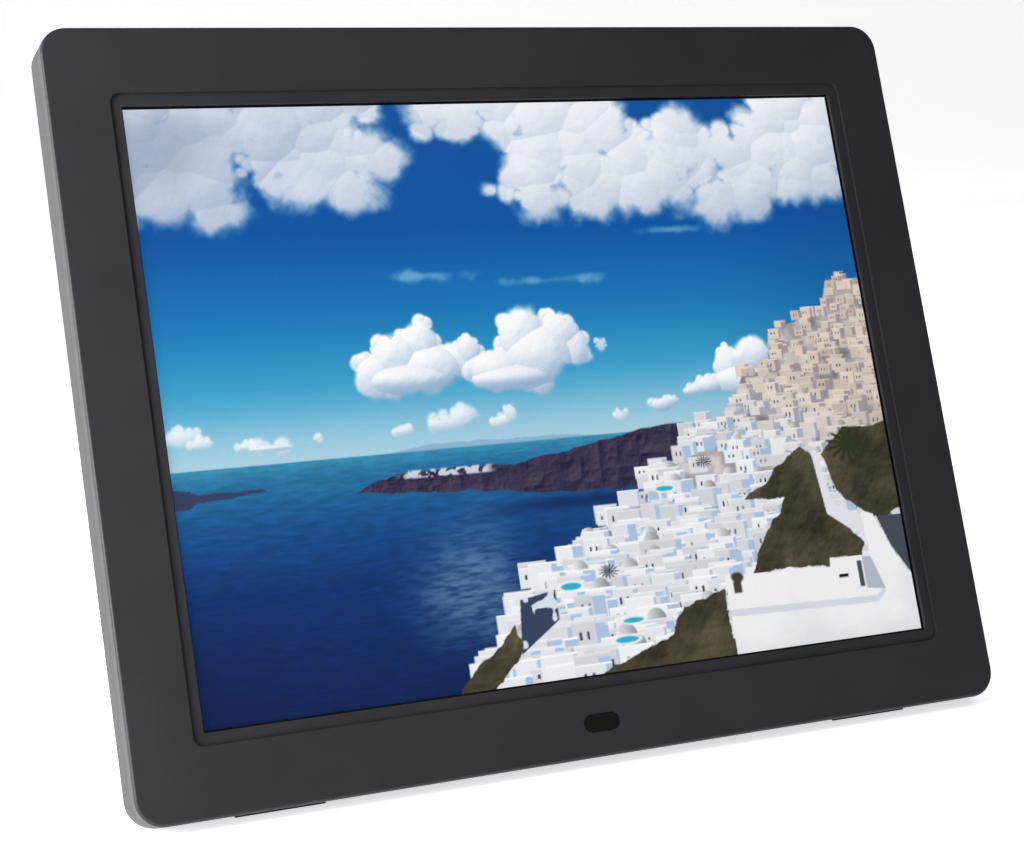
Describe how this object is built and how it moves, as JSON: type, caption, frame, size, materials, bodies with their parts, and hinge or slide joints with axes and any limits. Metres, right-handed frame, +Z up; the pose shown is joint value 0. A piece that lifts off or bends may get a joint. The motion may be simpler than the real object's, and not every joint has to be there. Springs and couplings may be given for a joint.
{
  "type": "digital photo frame",
  "caption": "Tabletop digital photo frame: leaning screen in a wide dark rim, shallow two-part case, rear keys, side sockets and a folding easel leg.",
  "frame": {"origin": "on the surface it stands on, below the middle of the whole object", "axes": "+X to the viewer's right, along the width; +Y from the viewer through the panel towards the stand; +Z up"},
  "size_m": [0.361, 0.1466, 0.2748],
  "materials": {
    "case_dark": "fine-textured matte charcoal",
    "case_rear": "fine-textured matte charcoal",
    "case_leg": "fine-textured matte charcoal",
    "window_black": "gloss",
    "display_glass": null,
    "steel": "zinc-plated sheet",
    "screw_steel": "plated",
    "screw_black": "black oxide",
    "shield": "tinned",
    "brass": "turned",
    "acrylic": "clear",
    "film_white": "matte",
    "board_white": "matte",
    "circuit_board": "solder mask",
    "insulation": "translucent film",
    "chip_black": "moulded",
    "capacitor": "sleeved can",
    "cell_metal": "bright",
    "plug_cream": "moulded",
    "socket_metal": "plated shell",
    "switch_metal": "moulded",
    "speaker": "black",
    "foam": "foam",
    "wire": "insulated",
    "ribbon": "flat ribbon",
    "rubber": "matte",
    "key_black": "satin"
  },
  "bodies": {
    "case": {"front_bezel": "case_dark", "rear_cover": "case_rear", "case_screws": "screw_black", "panel_screws": "screw_steel", "receiver_screws": "screw_steel", "board_screws": "screw_steel", "key_board_screws": "screw_steel", "rubber_feet": "rubber", "receiver_window": "window_black", "receiver_board": "circuit_board", "remote_receiver": "chip_black", "display_chassis": "steel", "display_glass": "display_glass", "display_tray": "steel", "diffuser_sheet": "film_white", "light_guide": "acrylic", "reflector_sheet": "film_white", "light_strip": "board_white", "driver_board": "circuit_board", "side_bracket_left": "steel", "side_bracket_right": "steel", "main_board": "circuit_board", "insulating_sheet": "insulation", "board_standoffs": "brass", "board_chips": "chip_black", "shield_can": "shield", "capacitors": "capacitor", "power_coil": "chip_black", "coin_cell_holder": "chip_black", "coin_cell": "cell_metal", "wire_plugs": "plug_cream", "power_socket": "chip_black", "headphone_socket": "chip_black", "usb_host_socket": "socket_metal", "usb_device_socket": "socket_metal", "card_socket": "socket_metal", "key_board": "circuit_board", "tact_switches": "switch_metal", "speaker_left": "speaker", "speaker_right": "speaker", "speaker_gaskets": "foam", "speaker_wire_left": "wire", "speaker_wire_right": "wire", "receiver_wire": "wire", "display_ribbon": "ribbon", "key_ribbon": "ribbon", "hinge_bracket": "steel", "bracket_screws": "screw_steel", "hinge_pin": "steel", "pin_clip": "steel", "hinge_washers": "steel"},
    "leg": {"stand_leg": "case_leg", "leg_shoe": "rubber"},
    "key_enter_body": {"key_enter": "key_black"},
    "key_up_body": {"key_up": "key_black"},
    "key_down_body": {"key_down": "key_black"},
    "key_left_body": {"key_left": "key_black"},
    "key_right_body": {"key_right": "key_black"},
    "key_power_body": {"key_power": "key_black"},
    "key_menu_body": {"key_menu": "key_black"}
  },
  "joints": [
    {"name": "leg_fold", "type": "hinge", "parent": "case", "child": "leg", "pos_m": [0, 0.01045, 0.13347], "axis": [1, 0, 0], "range_deg": [-45, 0]},
    {"name": "key_enter_press", "type": "slide", "parent": "case", "child": "key_enter_body", "axis": [0, -0.9317, 0.3633], "range_m": [0, 0.0005], "stiffness_N_per_m": 1500},
    {"name": "key_up_press", "type": "slide", "parent": "case", "child": "key_up_body", "axis": [0, -0.9317, 0.3633], "range_m": [0, 0.0005], "stiffness_N_per_m": 1500},
    {"name": "key_down_press", "type": "slide", "parent": "case", "child": "key_down_body", "axis": [0, -0.9317, 0.3633], "range_m": [0, 0.0005], "stiffness_N_per_m": 1500},
    {"name": "key_left_press", "type": "slide", "parent": "case", "child": "key_left_body", "axis": [0, -0.9317, 0.3633], "range_m": [0, 0.0005], "stiffness_N_per_m": 1500},
    {"name": "key_right_press", "type": "slide", "parent": "case", "child": "key_right_body", "axis": [0, -0.9317, 0.3633], "range_m": [0, 0.0005], "stiffness_N_per_m": 1500},
    {"name": "key_power_press", "type": "slide", "parent": "case", "child": "key_power_body", "axis": [0, -0.9317, 0.3633], "range_m": [0, 0.0005], "stiffness_N_per_m": 1500},
    {"name": "key_menu_press", "type": "slide", "parent": "case", "child": "key_menu_body", "axis": [0, -0.9317, 0.3633], "range_m": [0, 0.0005], "stiffness_N_per_m": 1500}
  ]
}
